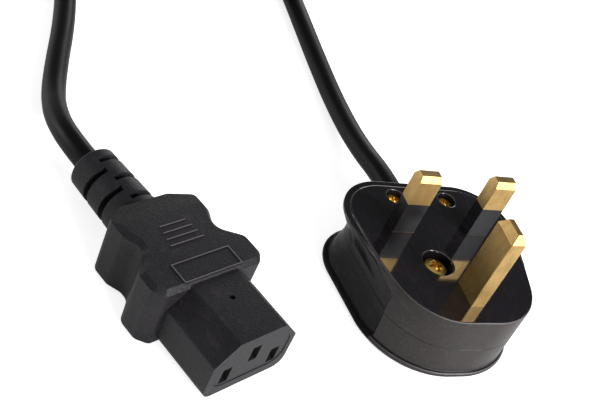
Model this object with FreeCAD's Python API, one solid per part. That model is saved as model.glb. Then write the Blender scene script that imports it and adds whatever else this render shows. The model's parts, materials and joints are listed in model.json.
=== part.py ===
import FreeCAD, Part
import math
import os

# A mains lead: a rewirable three pin plug lying on its cover with the pins up, its flexible cord,
# and the rectangular connector on the cord's far end. Units are millimetres.
# Origin: middle of the plug's footprint on the surface it lies on. +Z runs along the pins,
# the earth pin is towards -Y, the cord leaves the plug at +Y, the live pin is at +X.

V = FreeCAD.Vector
UP = V(0, 0, 1)

# Pins
pin_spacing = 22.2        # live to neutral, centre to centre
earth_offset = 22.2       # earth pin's centre to the line through the other two
pin_width = 6.35          # live and neutral section along X
pin_thick = 4.0           # live and neutral section along Y
pin_length = 18.2         # above the pin face
sleeve_length = 9.5       # insulating sleeve on the live and neutral pins
sleeve_wall = 0.55
earth_width = 4.0         # earth pin section along X
earth_depth = 7.95        # earth pin section along Y
earth_length = 23.2
tip_height = 1.6          # bevelled end of the live and neutral pins
tip_inset = 0.95
tip_side_inset = 0.4
earth_tip_height = 2.2
earth_tip_inset = 1.4
pin_edge = 0.2            # rounding of the pins' long edges

# Plug body. Depths are taken down from the pin face.
base_depth = 9.1          # to the joint with the cover
flange_thick = 2.3
flange_lip = 0.8          # flange beyond the foot of the wall
rim_depth = 1.0           # pin face rim above the finger grips
neck_top, neck_foot = 6.8, 12.0   # the narrowest part of the grips
grip_foot_step = 0.5      # grip behind the wall at the flange
wall = 2.2
face_thick = 3.2
cover_floor = 2.2
side_room = 1.75          # beside the live terminal, at the fuse's far end
fuse_room = 3.15          # under the fuse
earth_room = 9.2          # earth pin's centre to the edge of the pin face

# Outlines of the body in plan. "taper" is the half width lost per mm towards the earth end, "back"
# the reach from the pin line to the cord side, "flat" half of the straight part of the front edge.
# The neck, the flange and the raised part of the pin face are set in from the face's outline.
face_taper, face_back, face_back_r, face_flat = 0.259, 17.2, 14.0, 4.3
neck_taper, neck_in, neck_back_in, neck_back_r, neck_flat = 0.12, 3.25, 1.5, 14.0, 3.35
flange_taper, flange_in, flange_back_in, flange_back_r, flange_flat = 0.12, 0.56, 0.8, 14.0, 1.8
flange_out = 1.9          # flange beyond the pin face at the earth end
plateau_taper, plateau_in, plateau_back_in, plateau_back_r = 0.117, 1.7, 1.9, 12.0
plateau_step = 0.4

# Where the finger grips end on the side walls: reach from the pin line and depth below the pin face
grip_end_top = (20.0, 3.8)
grip_end_rim = (10.6, 1.2)
grip_end_foot = 21.2

# Screws of the plug
cover_screw_x, cover_screw_y = -5.0, -12.0
cover_screw_head_r, cover_screw_head_h, cover_screw_r = 3.0, 2.0, 1.75
cover_recess_gap = 1.1    # round the screw's head
cover_screw_sunk = 1.0
cover_screw_length = 9.0
insert_wall, insert_length = 1.15, 6.0
insert_gap = 1.0          # between the boss in the base and the insert's post
cross_width = 1.1         # driver's recess of the cover screw
grip_screw_x = 7.9
grip_screw_head_r, grip_screw_head_h, grip_screw_r = 2.2, 1.6, 1.4
grip_recess_gap = 0.3
grip_cross_width = 0.9
grip_screw_sunk = 0.9
boss_wall = 1.5
hole_clearance = 0.2
lip_thick, lip_high, lip_gap = 0.9, 1.0, 0.12   # cover's lip inside the base
lip_root = 2.0            # lip below the joint

# Cord and its grip
cord_d = 6.4
cord_clearance = 0.2
grip_bar_end, grip_bar_width, grip_bar_thick = 2.6, 4.0, 2.8   # end: beyond the screw's axis
grip_bar_gap = 0.2        # to the inside of the wall
grip_bite = 0.5           # depth of the saddle in the bar

# Terminals and fuse
block_x, block_y, block_z = 7.4, 7.6, 6.0
earth_block_x, earth_block_y = 7.0, 9.0
pad_high, block_gap = 1.0, 0.4    # pads under the pins, live block's gap to the pin face
core_d, conductor_d = 2.5, 1.3
conductor_reach = 2.6
terminal_screw_r, terminal_head_r, terminal_head_h = 1.4, 2.4, 1.8
live_stub = 3.6           # live pin below the inside of the pin face
fuse_d, fuse_length, fuse_cap_length, fuse_cap_wall = 6.35, 25.4, 5.8, 0.35
clip_thick, clip_width = 0.7, 4.6
clip_arm = 4.6

# Connector, in its own frame: X across, Y from its front face back to the cord, Z up from its underside
conn_x, conn_y, conn_turn = -57.3, -25.2, 24.0
nose_wall, nose_high, nose_low, nose_length = 1.6, 17.2, 1.2, 17.5
nose_bevel, nose_round = 5.3, 3.0
body_high, body_edge = 17.9, 1.2
shoulder_step, shoulder_corner = 3.6, 2.2      # shoulder beyond the nose, and its front corner
waist_half, ear_half = 10.7, 12.3
# Runs along the body, from the nose to the sleeve
shoulder_rise, shoulder_run, waist_fall, waist_run = 2.6, 5.6, 4.4, 2.6
ear_rise, ear_run, ear_fall = 3.4, 5.6, 3.3
relief_length, relief_wall_body, relief_wall_tip = 20.0, 3.5, 2.8   # walls round the cord
relief_slots, slot_width, slot_root, slot_turn = 5, 1.7, 1.1, 18.0
axis_high = 9.0           # cord axis above the connector's underside
socket_pitch, socket_rise = 7.0, 4.0
live_slot_high = 6.9      # height of the two outer slots' centres
slot_x, slot_z = 2.5, 4.6
carrier_wall, carrier_rim, carrier_corner_r = 1.9, 0.8, 3.6
carrier_sunk = 0.15
contact_x, contact_z, contact_length, contact_sheet = 3.0, 4.8, 11.0, 0.4
contact_sunk = 2.0        # contacts behind the front face
barrel_r, barrel_length = 1.5, 2.0
mark_high, mark_line = 0.2, 0.3   # raised grip lines and label frame

# Put-away coil of the cord
coil_x, coil_y, coil_mean_r = -36.0, 184.0, 34.0
coil_columns, coil_layers = 3, 2
coil_stub = 33.0
tie_thick, tie_angle = 1.0, 12.0

# Levels and places that follow from the sizes above
live_x, neutral_x = pin_spacing / 2.0, -pin_spacing / 2.0
terminal_reach = earth_offset - fuse_cap_length / 2.0 + block_y / 2.0
face_side = (live_x + block_x / 2.0 + side_room + wall * math.hypot(1.0, face_taper)
             + face_taper * terminal_reach)
face_front = earth_offset + earth_room
flange_front = face_front + flange_out
neck_back = face_back - neck_back_in
body_depth = cover_floor + fuse_room + fuse_d + clip_thick + live_stub + face_thick
face_z = body_depth
seam_z = body_depth - base_depth
inner_z = body_depth - face_thick
pad_z = inner_z - pad_high
flange_z = flange_thick
pin_y = (flange_front - face_back) / 2.0
cord_r = cord_d / 2.0
cord_z = seam_z
earth_y = pin_y - earth_offset
fuse_z = inner_z - live_stub - clip_thick - fuse_d / 2.0
fuse_far_y = earth_y
grip_y = pin_y + neck_back - wall - grip_bar_gap - grip_bar_width / 2.0
sheath_end_y = grip_y - grip_bar_width
screw_x, screw_y = cover_screw_x, pin_y + cover_screw_y
screw_seat_z = face_z - cover_screw_sunk - cover_screw_head_h
cover_recess_r = cover_screw_head_r + cover_recess_gap
insert_r = cover_screw_r + insert_wall
grip_seat_z = face_z - grip_screw_sunk - grip_screw_head_h
bar_low = cord_z - cord_r + grip_bite - grip_bar_thick
post_z = screw_seat_z - boss_wall - insert_gap
carrier_half = socket_pitch + contact_x / 2.0 + carrier_wall
carrier_depth = contact_sunk + contact_length + barrel_length
nose_half = carrier_half + nose_wall
shoulder_half = nose_half + shoulder_step
waist_y = nose_length + shoulder_rise + shoulder_run + waist_fall
ear_y = waist_y + waist_run + ear_rise
body_back = ear_y + ear_run + ear_fall
relief_r_body, relief_r_tip = cord_r + relief_wall_body, cord_r + relief_wall_tip

# Route of the cord, points chosen by hand: from the grip in the plug to the coil, and from the
# coil to the connector
coil_reach = coil_mean_r + cord_d
plug_route = [(0.0, sheath_end_y, cord_z), (0.0, 34.5, cord_z), (0.0, 56.0, 5.4),
              (1.1, 78.0, cord_r), (2.0, 100.0, cord_r), (3.3, 121.0, cord_r),
              (coil_x + coil_reach, 140.0, cord_r),
              (coil_x + coil_reach, coil_y - coil_stub, cord_r)]
connector_route = [(-90.2, 58.0, 6.0), (-89.2, 74.0, cord_r), (-85.6, 91.0, cord_r),
                   (-80.9, 110.5, cord_r), (coil_x - coil_reach, 131.5, cord_r),
                   (coil_x - coil_reach, coil_y - coil_stub, cord_r)]
relief_lead = 11.0        # cord's straight run behind the connector's sleeve


def save(shape, name):
    """Write one node."""
    shape.exportStep("parts/" + name + ".step")


def box(x0, x1, y0, y1, z0, z1):
    return Part.makeBox(x1 - x0, y1 - y0, z1 - z0, V(x0, y0, z0))


def mid_box(x, y, size_x, size_y, z0, z1):
    return box(x - size_x / 2, x + size_x / 2, y - size_y / 2, y + size_y / 2, z0, z1)


def disc(x, y, r, z0, z1):
    return Part.makeCylinder(r, z1 - z0, V(x, y, z0))


def rounded_wire(points, radii, z):
    """Closed polygon with an arc at each corner, in the plane at height z."""
    edges = []
    last = None
    first = None
    count = len(points)
    for i in range(count):
        here = V(points[i][0], points[i][1], z)
        before = V(points[i - 1][0], points[i - 1][1], z)
        after = V(points[(i + 1) % count][0], points[(i + 1) % count][1], z)
        a = (before - here).normalize()
        b = (after - here).normalize()
        half = a.getAngle(b) / 2.0
        reach = radii[i] / math.tan(half)
        middle = (a + b).normalize()
        start, end = here + a * reach, here + b * reach
        crown = here + middle * (radii[i] / math.sin(half) - radii[i])
        if last is not None:
            edges.append(Part.LineSegment(last, start).toShape())
        else:
            first = start
        edges.append(Part.Arc(start, crown, end).toShape())
        last = end
    edges.append(Part.LineSegment(last, first).toShape())
    return Part.Wire(edges)


def plan_wire(side, taper, back, front, back_r, front_flat, z, inset=0.0):
    """Plug outline: straight back and front, sides that taper to the earth end, round corners."""
    slant = math.hypot(1.0, taper)
    half_corner = (math.pi / 2.0 + math.atan(taper)) / 2.0
    front_r = (side - taper * front - front_flat) * math.tan(half_corner) - inset
    side_in = side - inset * slant
    back_in, front_in = back - inset, front - inset
    x_back = side_in + taper * back_in
    x_front = side_in - taper * front_in
    y_back, y_front = pin_y + back_in, pin_y - front_in
    corners = [(-x_front, y_front), (x_front, y_front), (x_back, y_back), (-x_back, y_back)]
    return rounded_wire(corners, [front_r, front_r, back_r - inset, back_r - inset], z)


def face_wire(z, inset=0.0):
    return plan_wire(face_side, face_taper, face_back, face_front,
                     face_back_r, face_flat, z, inset)


def neck_wire(z, inset=0.0):
    return plan_wire(face_side - neck_in, neck_taper, neck_back, flange_front,
                     neck_back_r, neck_flat, z, inset)


def flange_wire(z, inset=0.0):
    return plan_wire(face_side - flange_in, flange_taper, face_back - flange_back_in,
                     flange_front, flange_back_r, flange_flat, z, inset)


def plateau_wire(z):
    return plan_wire(face_side - plateau_in, plateau_taper, face_back - plateau_back_in,
                     flange_front, plateau_back_r, flange_flat, z)


def raise_wire(wire, height):
    return Part.Face(wire).extrude(UP * height)


def loft(*wires):
    return Part.makeLoft(list(wires), True, True)


def side_slab(points, half_width):
    """Flat shape drawn in Y and Z, extruded across the plug."""
    flat = [V(-half_width, y, z) for y, z in points]
    return Part.Face(Part.makePolygon(flat + [flat[0]])).extrude(V(2 * half_width, 0, 0))


def plug_shell():
    """Outside of base and cover together: drafted wall, finger grips, flange."""
    body = loft(face_wire(face_z), flange_wire(flange_z, flange_lip))
    core = loft(face_wire(face_z - rim_depth), neck_wire(face_z - neck_top))
    core = core.fuse(raise_wire(neck_wire(face_z - neck_foot), neck_foot - neck_top))
    core = core.fuse(loft(neck_wire(face_z - neck_foot),
                          flange_wire(flange_z, flange_lip + grip_foot_step)))
    core = core.fuse(raise_wire(face_wire(face_z - rim_depth), rim_depth * 2))
    top_y, top_down = grip_end_top
    rim_y, rim_down = grip_end_rim
    far = 3 * face_back
    grips = side_slab([(pin_y - grip_end_foot, flange_z), (pin_y - top_y, face_z - top_down),
                       (pin_y - rim_y, face_z - rim_down), (far, face_z - rim_depth),
                       (far, flange_z)], 2 * face_side)
    body = body.cut(grips.cut(core))
    plate = raise_wire(flange_wire(0.0), flange_z)
    low = [e for e in plate.Edges if e.BoundBox.ZMax < 0.01]
    plate = plate.makeChamfer(flange_thick * 0.5, low)
    high = [e for e in plate.Edges if e.BoundBox.ZMin > flange_z - 0.01]
    plate = plate.makeChamfer(flange_thick * 0.2, high)
    return body.fuse(plate).removeSplitter()


def cavity(z0, z1):
    """Room inside the walls."""
    room = raise_wire(neck_wire(z0, wall), z1 - z0)
    return room.common(raise_wire(face_wire(z0, wall), z1 - z0))


def pin_face_step():
    """Band round the cord end of the pin face, a little below the rest of it."""
    z = face_z - plateau_step
    top = raise_wire(plateau_wire(z), 2 * plateau_step)
    return mid_box(0, pin_y, 3 * face_side, 4 * face_front, z, face_z + plateau_step).cut(top)


def cord_bore(y0, y1, clearance):
    """Round way for the cord along Y through base and cover."""
    return Part.makeCylinder(cord_r + clearance, y1 - y0, V(0, y0, cord_z), V(0, 1, 0))


def plug_base(shell):
    """Moulding that carries the pins: pin face, upper walls, bosses and the cord's saddle."""
    base = shell.common(mid_box(0, pin_y, 4 * face_side, 4 * face_front, seam_z, 2 * face_z))
    base = base.cut(pin_face_step())
    base = base.cut(cavity(seam_z - 1.0, inner_z))
    saddle = mid_box(0, grip_y, 2 * grip_screw_x, grip_bar_width, cord_z + cord_r / 2.0, inner_z)
    for side in (-1, 1):
        saddle = saddle.fuse(disc(side * grip_screw_x, grip_y, grip_screw_r + boss_wall,
                                  cord_z + 0.5, inner_z))
    saddle = saddle.cut(cord_bore(pin_y, grip_y + grip_bar_width, 0.0))
    bosses = saddle.fuse(disc(screw_x, screw_y, cover_recess_r + boss_wall, post_z, inner_z))
    for x in (live_x, neutral_x):
        bosses = bosses.fuse(mid_box(x, pin_y, pin_width + 2 * boss_wall,
                                     pin_thick + 2 * boss_wall, pad_z, inner_z))
    bosses = bosses.fuse(mid_box(0, earth_y, earth_width + 2 * boss_wall,
                                 earth_depth + 2 * boss_wall, pad_z, inner_z))
    base = base.fuse(bosses.common(cavity(seam_z, inner_z)))
    base = base.cut(disc(screw_x, screw_y, cover_recess_r, screw_seat_z, 2 * face_z))
    base = base.cut(disc(screw_x, screw_y, cover_screw_r + hole_clearance, 0, face_z))
    for side in (-1, 1):
        x = side * grip_screw_x
        base = base.cut(disc(x, grip_y, grip_screw_head_r + grip_recess_gap,
                             grip_seat_z, 2 * face_z))
        base = base.cut(disc(x, grip_y, grip_screw_r + hole_clearance, 0, face_z))
    for x in (live_x, neutral_x):
        base = base.cut(mid_box(x, pin_y, pin_width, pin_thick, 0, 2 * face_z))
    base = base.cut(mid_box(0, earth_y, earth_width, earth_depth, 0, 2 * face_z))
    base = base.cut(cord_bore(grip_y + grip_bar_width / 2.0, pin_y + 2 * face_back, cord_clearance))
    return base.removeSplitter()


def inner_ring(z0, z1, outer, inner):
    """Upright band inside the wall, between two insets from the body's outlines."""
    band = raise_wire(neck_wire(z0, outer), z1 - z0)
    band = band.common(raise_wire(face_wire(z0, outer), z1 - z0))
    room = raise_wire(neck_wire(z0, inner), z1 - z0)
    return band.cut(room.common(raise_wire(face_wire(z0, inner), z1 - z0)))


def plug_cover(shell):
    """Shell with the flange, the post for the screw's insert and a locating lip."""
    cover = shell.common(mid_box(0, pin_y, 4 * face_side, 4 * face_front, -1, seam_z))
    cover = cover.cut(cavity(cover_floor, seam_z + 1.0))
    lip = inner_ring(seam_z - lip_root, seam_z, wall, wall + lip_thick)
    lip = lip.fuse(inner_ring(seam_z, seam_z + lip_high, wall + lip_gap, wall + lip_thick))
    notch = 2 * grip_screw_x + 4 * boss_wall
    lip = lip.cut(mid_box(0, pin_y + face_back, notch, 2 * face_back, 0, face_z))
    cover = cover.fuse(lip)
    cover = cover.fuse(disc(screw_x, screw_y, insert_r + boss_wall, cover_floor, post_z))
    cover = cover.cut(disc(screw_x, screw_y, insert_r, post_z - insert_length, face_z))
    cover = cover.cut(disc(screw_x, screw_y, cover_screw_r + hole_clearance,
                           cover_floor + 1.0, face_z))
    cover = cover.cut(cord_bore(pin_y, 2 * face_back + pin_y, cord_clearance))
    return cover.removeSplitter()


def bevelled_bar(x, y, size_x, size_y, z0, z1, tip_h, inset_x, inset_y):
    """Rectangular bar with rounded long edges and a bevelled end at the top."""
    bar = mid_box(x, y, size_x, size_y, z0, z1 - tip_h)
    long_edges = [e for e in bar.Edges if e.BoundBox.ZLength > 1.0]
    bar = bar.makeFillet(pin_edge, long_edges)
    tip = loft(rounded_wire(corners_of(x, y, size_x, size_y), [pin_edge] * 4, z1 - tip_h),
               rounded_wire(corners_of(x, y, size_x - 2 * inset_x, size_y - 2 * inset_y),
                            [pin_edge] * 4, z1))
    return bar.fuse(tip)


def corners_of(x, y, size_x, size_y):
    a, b = size_x / 2.0, size_y / 2.0
    return [(x - a, y - b), (x + a, y - b), (x + a, y + b), (x - a, y + b)]


def sleeved_pin(x):
    """Live or neutral pin: solid brass, necked where the sleeve sits."""
    top = face_z + pin_length
    pin = bevelled_bar(x, pin_y, pin_width, pin_thick, pad_z, top,
                       tip_height, tip_side_inset, tip_inset)
    neck = mid_box(x, pin_y, 2 * pin_width, 2 * pin_thick, face_z, face_z + sleeve_length)
    neck = neck.cut(mid_box(x, pin_y, pin_width - 2 * sleeve_wall, pin_thick - 2 * sleeve_wall,
                            face_z, face_z + sleeve_length))
    return pin.cut(neck)


def pin_sleeve(x):
    """Insulating sleeve, flush with the pin above it."""
    sleeve = mid_box(x, pin_y, pin_width, pin_thick, face_z, face_z + sleeve_length)
    sleeve = sleeve.makeFillet(pin_edge, [e for e in sleeve.Edges if e.BoundBox.ZLength > 1.0])
    return sleeve.cut(mid_box(x, pin_y, pin_width - 2 * sleeve_wall,
                              pin_thick - 2 * sleeve_wall, face_z, face_z + sleeve_length))


def tapped_block(x, y, size_x, size_y, top, entry, entry_dir):
    """Terminal block with a way for the bare wire and a hole for its screw from below."""
    low = top - block_z
    block = mid_box(x, y, size_x, size_y, low, top)
    block = block.makeChamfer(0.5, [e for e in block.Edges if e.BoundBox.ZLength > 1.0])
    way = Part.makeCylinder(conductor_d / 2.0 + 0.1, conductor_reach + 0.4, entry, entry_dir)
    block = block.cut(way)
    return block.cut(disc(x, y, terminal_screw_r, low, entry.z))


def neutral_entry():
    return V(neutral_x + block_x / 2.0, pin_y, pad_z - block_z / 2.0)


def earth_entry():
    return V(earth_block_x * 0.23, earth_y + earth_block_y / 2.0, pad_z - block_z / 2.0)


def neutral_pin():
    block = tapped_block(neutral_x, pin_y, block_x, block_y, pad_z,
                         neutral_entry(), V(-1, 0, 0))
    return sleeved_pin(neutral_x).fuse(block).removeSplitter()


def earth_pin():
    pin = bevelled_bar(0, earth_y, earth_width, earth_depth, pad_z, face_z + earth_length,
                       earth_tip_height, earth_tip_inset - 0.05, earth_tip_inset)
    block = tapped_block(0, earth_y, earth_block_x, earth_block_y, pad_z,
                         earth_entry(), V(0, -1, 0))
    return pin.fuse(block).removeSplitter()


def live_pin():
    stub = mid_box(live_x, pin_y, pin_width, pin_thick, inner_z - live_stub, pad_z)
    return sleeved_pin(live_x).fuse(stub).removeSplitter()


def terminal_screw(x, y, top):
    """Slotted cheese head screw that enters a block from below; top is its tip."""
    low = pad_z - block_z
    head = disc(x, y, terminal_head_r, low - terminal_head_h, low)
    head = head.cut(mid_box(x, y, 2 * terminal_head_r, 0.7,
                            low - terminal_head_h, low - terminal_head_h + 0.9))
    return head.fuse(disc(x, y, terminal_screw_r, low, top))


def fuse_saddle(y):
    """Sprung strip bent round the fuse, open towards the cover."""
    outer, inner = fuse_d / 2.0 + clip_thick, fuse_d / 2.0
    ring = Part.makeCylinder(outer, clip_width, V(live_x, y - clip_width / 2, fuse_z), V(0, 1, 0))
    bore = Part.makeCylinder(inner, clip_width, V(live_x, y - clip_width / 2, fuse_z), V(0, 1, 0))
    ring = ring.cut(bore)
    mouth = mid_box(live_x, y, 2 * outer, clip_width, 0, fuse_z - inner * 0.55)
    seat = mid_box(live_x, y, clip_arm, clip_width, fuse_z + inner + clip_thick * 0.4,
                   inner_z - live_stub)
    seat = seat.cut(bore)
    return ring.cut(mouth).fuse(seat).removeSplitter()


def live_entry():
    far_y = fuse_far_y + fuse_cap_length / 2.0
    return V(live_x - block_x * 0.3, far_y + block_y / 2.0,
             inner_z - (live_stub + block_gap) / 2.0)


def live_terminal():
    """Clip at the fuse's far end with the live wire's block on it."""
    y = fuse_far_y + fuse_cap_length / 2.0
    block = mid_box(live_x, y, block_x, block_y, inner_z - live_stub, inner_z - block_gap)
    way = Part.makeCylinder(conductor_d / 2.0 + 0.1, conductor_reach + 0.4,
                            live_entry(), V(0, -1, 0))
    block = block.cut(way)
    hole = Part.makeCylinder(terminal_screw_r * 0.8, block_x, live_terminal_axis(),
                             V(1, 0, 0))
    return fuse_saddle(y).fuse(block.cut(hole)).removeSplitter()


def live_terminal_axis():
    entry = live_entry()
    return V(entry.x, entry.y - conductor_reach * 0.6, entry.z)


def live_terminal_screw():
    """Grub screw from the side, clamping the live wire."""
    start = live_terminal_axis()
    reach = live_x + block_x / 2.0 - start.x - conductor_d / 2.0 - 0.1
    screw = Part.makeCylinder(terminal_screw_r * 0.8, reach,
                              start + V(conductor_d / 2.0 + 0.1, 0, 0), V(1, 0, 0))
    end_x = live_x + block_x / 2.0
    slot = box(end_x - 0.7, end_x + 1, start.y - 0.25, start.y + 0.25,
               start.z - 3, start.z + 3)
    return screw.cut(slot)


def fuse_cap(y0, outward):
    """Plated cup on the end of the fuse; y0 is the fuse's end."""
    y = y0 if outward < 0 else y0 - fuse_cap_length
    cup = Part.makeCylinder(fuse_d / 2.0, fuse_cap_length, V(live_x, y, fuse_z), V(0, 1, 0))
    inner_y = y + fuse_cap_wall if outward < 0 else y
    bore = Part.makeCylinder(fuse_d / 2.0 - fuse_cap_wall, fuse_cap_length - fuse_cap_wall,
                             V(live_x, inner_y, fuse_z), V(0, 1, 0))
    return cup.cut(bore)


def fuse_tube():
    r = fuse_d / 2.0 - fuse_cap_wall
    rod = Part.makeCylinder(r, fuse_length - 2 * fuse_cap_wall,
                            V(live_x, fuse_far_y + fuse_cap_wall, fuse_z), V(0, 1, 0))
    bead = Part.makeCylinder(r + 0.2, fuse_length - 2 * fuse_cap_length,
                             V(live_x, fuse_far_y + fuse_cap_length, fuse_z), V(0, 1, 0))
    return rod.fuse(bead)


def cross_cut(x, y, reach, width, z0, z1):
    return mid_box(x, y, 2 * reach, width, z0, z1).fuse(mid_box(x, y, width, 2 * reach, z0, z1))


def headed_screw(x, y, head_r, head_h, shank_r, seat, end, recess):
    """Screw with a domed head and a cross recess, its head up."""
    top = seat + head_h
    rise = head_h * 0.35
    dome_r = (head_r * head_r + rise * rise) / (2 * rise)
    dome = Part.makeSphere(dome_r, V(x, y, top - dome_r))
    head = disc(x, y, head_r, seat, top).common(dome)
    head = head.cut(cross_cut(x, y, head_r * 0.62, recess, top - head_h * 0.6, top + 1))
    return head.fuse(disc(x, y, shank_r, end, seat)).removeSplitter()


def cord_grip_bar():
    """Bar under the cord with a saddle; the two grip screws pull it up."""
    bar = mid_box(0, grip_y, 2 * (grip_screw_x + grip_bar_end), grip_bar_width,
                  bar_low, bar_low + grip_bar_thick)
    bar = bar.makeFillet(1.2, [e for e in bar.Edges if e.BoundBox.ZLength > 1.0])
    bar = bar.cut(cord_bore(grip_y - grip_bar_width, grip_y + grip_bar_width, 0.0))
    for side in (-1, 1):
        bar = bar.cut(disc(side * grip_screw_x, grip_y, grip_screw_r, 0, face_z))
    return bar


def smooth_path(points, name, report=True):
    """Straight runs joined by arcs that touch them, each as large as its two runs allow."""
    pts = [V(*p) for p in points]
    edges = []
    start = pts[0]
    radii = []
    for i in range(1, len(pts) - 1):
        a, b = pts[i] - pts[i - 1], pts[i + 1] - pts[i]
        turn = a.getAngle(b)
        reach = 0.45 * min(a.Length, b.Length)
        radius = reach / math.tan(turn / 2.0)
        radii.append(radius)
        into, out = V(a).normalize(), V(b).normalize()
        middle = (out - into).normalize()
        crown = pts[i] + middle * (math.hypot(radius, reach) - radius)
        arc_start, arc_end = pts[i] - into * reach, pts[i] + out * reach
        edges.append(Part.LineSegment(start, arc_start).toShape())
        edges.append(Part.Arc(arc_start, crown, arc_end).toShape())
        start = arc_end
    edges.append(Part.LineSegment(start, pts[-1]).toShape())
    if report:
        print(name, "bend radii", [round(r) for r in radii])
    return Part.Wire(edges)


def tube(points, radius, name, report=True):
    """Round solid along a route."""
    path = smooth_path(points, name, report)
    start, ahead = V(*points[0]), V(*points[1]) - V(*points[0])
    ring = Part.Wire(Part.Circle(start, ahead, radius).toShape())
    solid = path.makePipeShell([ring], True, False)
    if report:
        expected = math.pi * radius ** 2 * path.Length
        print(name, "length", round(path.Length, 1), "volume ratio",
              round(solid.Volume / expected, 4))
    return solid


def insulated_core(points, name):
    """One wire of the cord inside the plug, its bare end in the terminal."""
    last, before = V(*points[-1]), V(*points[-2])
    bare = Part.makeCylinder(conductor_d / 2.0, conductor_reach, last, last - before)
    return tube(points, core_d / 2.0, name, False).fuse(bare)


def wire_cores():
    """The three wires from the end of the sheath to their terminals."""
    side, rise, drop = core_d * 0.52, core_d * 0.3, core_d * 0.6
    y = sheath_end_y
    live_end, neutral_end, earth_end = live_entry(), neutral_entry(), earth_entry()
    high, low = cord_z + rise, cord_z - drop
    live = [(side, y, high), (side, y - 3.5, high), (side + 3.4, y - 9.5, high + 2.4),
            (side + 4.6, y - 15.5, live_end.z - 0.6), (live_end.x, live_end.y + 5.0, live_end.z),
            tuple(live_end)]
    neutral = [(-side, y, high), (-side, y - 3.2, high),
               (neutral_end.x + 4.2, neutral_end.y, neutral_end.z), tuple(neutral_end)]
    earth = [(0, y, low), (0, y - 5.0, low), (1.9, y - 14.0, low + 1.2),
             (earth_end.x, earth_end.y + 5.0, earth_end.z), tuple(earth_end)]
    return {"core_live": live, "core_neutral": neutral, "core_earth": earth}


def ring_solid(r_in, r_out, z0, z1, bevel):
    """Ring about the coil's axis, its four edges bevelled."""
    ring = disc(coil_x, coil_y, r_out, z0, z1).cut(disc(coil_x, coil_y, r_in, z0, z1))
    return ring.makeChamfer(bevel, [e for e in ring.Edges if e.BoundBox.ZLength < 0.01])


def coil_limits():
    half = coil_columns * cord_d / 2.0
    return coil_mean_r - half, coil_mean_r + half, coil_layers * cord_d


def tie_sector():
    """Wedge that holds the part of the ring under the tie."""
    far = coil_mean_r * 3
    swing = math.radians(tie_angle / 2.0)
    corner = V(coil_x, coil_y, -1)
    left = corner + V(-far * math.sin(swing), far * math.cos(swing), 0)
    right = corner + V(far * math.sin(swing), far * math.cos(swing), 0)
    return Part.Face(Part.makePolygon([corner, left, right, corner])).extrude(UP * far)


def coil_tie():
    """Strap round the coil's turns, lying under them as well."""
    r_in, r_out, high = coil_limits()
    strap = ring_solid(r_in - tie_thick, r_out + tie_thick, 0, high + tie_thick, cord_r * 0.8)
    room = ring_solid(r_in, r_out, tie_thick, high, cord_r * 0.6)
    return strap.cut(room).common(tie_sector())


def cord_coil(strap):
    """Outer shape of the put-away turns, with the two short straights that lead off it."""
    r_in, r_out, high = coil_limits()
    coil = ring_solid(r_in, r_out, 0, high, cord_r * 0.6)
    for side in (-1, 1):
        lead = Part.makeCylinder(cord_r, coil_stub, V(coil_x + side * coil_reach,
                                 coil_y - coil_stub, cord_r), V(0, 1, 0))
        coil = coil.fuse(lead)
    coil = coil.cut(strap)
    return max(coil.removeSplitter().Solids, key=lambda s: s.Volume)


def mirror_outline(half):
    return half + [(-x, y) for x, y in reversed(half)]


def connector_plan():
    """Outline of the gripped part from above: shoulders, finger waists and rear ears."""
    shoulder_y = nose_length + shoulder_rise
    half = [(shoulder_half - shoulder_corner, nose_length), (shoulder_half, shoulder_y),
            (shoulder_half, shoulder_y + shoulder_run), (waist_half, waist_y),
            (waist_half, waist_y + waist_run), (ear_half, ear_y), (ear_half, ear_y + ear_run),
            (relief_r_body, body_back)]
    radii = [1.5, 2.2, 3.0, 2.8, 3.4, 2.4, 2.4, 1.5]
    return rounded_wire(mirror_outline(half), radii + list(reversed(radii)), 0.0)


def connector_side():
    """The same part from the side: full height at the shoulders, falling to the cord."""
    pts = [(nose_length, 0.0), (ear_y, 0.0), (body_back, axis_high - relief_r_body),
           (body_back, axis_high + relief_r_body), (ear_y + ear_run / 3.0, body_high),
           (nose_length, body_high)]
    return side_slab(pts, 2 * shoulder_half)


def nose_section(y):
    """Front face outline: two large bevels on the earth side, rounded lower corners."""
    w, low, high, bevel = nose_half, nose_low, nose_high, nose_bevel
    pts = [(-w, low), (w, low), (w, high - bevel), (w - bevel, high), (-w + bevel, high),
           (-w, high - bevel)]
    radii = [nose_round, nose_round, 0.8, 0.8, 0.8, 0.8]
    flat = rounded_wire(pts, radii, 0.0)
    flat.rotate(V(0, 0, 0), V(1, 0, 0), 90)
    flat.translate(V(0, y, 0))
    return flat


def relief():
    """Flexible sleeve behind the grip, with staggered slots down both sides."""
    y0, y1 = body_back - 1.0, body_back + relief_length
    cone = Part.makeCone(relief_r_body, relief_r_tip, y1 - y0, V(0, y0, axis_high), V(0, 1, 0))
    tail = [e for e in cone.Edges if e.BoundBox.YMin > y1 - 0.01]
    cone = cone.makeChamfer(relief_wall_tip * 0.35, tail)
    pitch = relief_length / (relief_slots + 1)
    for i in range(relief_slots):
        y = body_back + pitch * (i + 0.5)
        ring = Part.makeCylinder(2 * relief_r_body, slot_width, V(0, y, axis_high), V(0, 1, 0))
        ring = ring.cut(Part.makeCylinder(cord_r + slot_root, slot_width,
                                          V(0, y, axis_high), V(0, 1, 0)))
        far = 3 * relief_r_body
        half = box(0, far, y, y + slot_width, axis_high - far, axis_high + far)
        half.rotate(V(0, 0, axis_high), V(0, 1, 0), (180.0 if i % 2 else 0.0) - slot_turn)
        cone = cone.cut(ring.common(half))
    return cone


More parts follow.
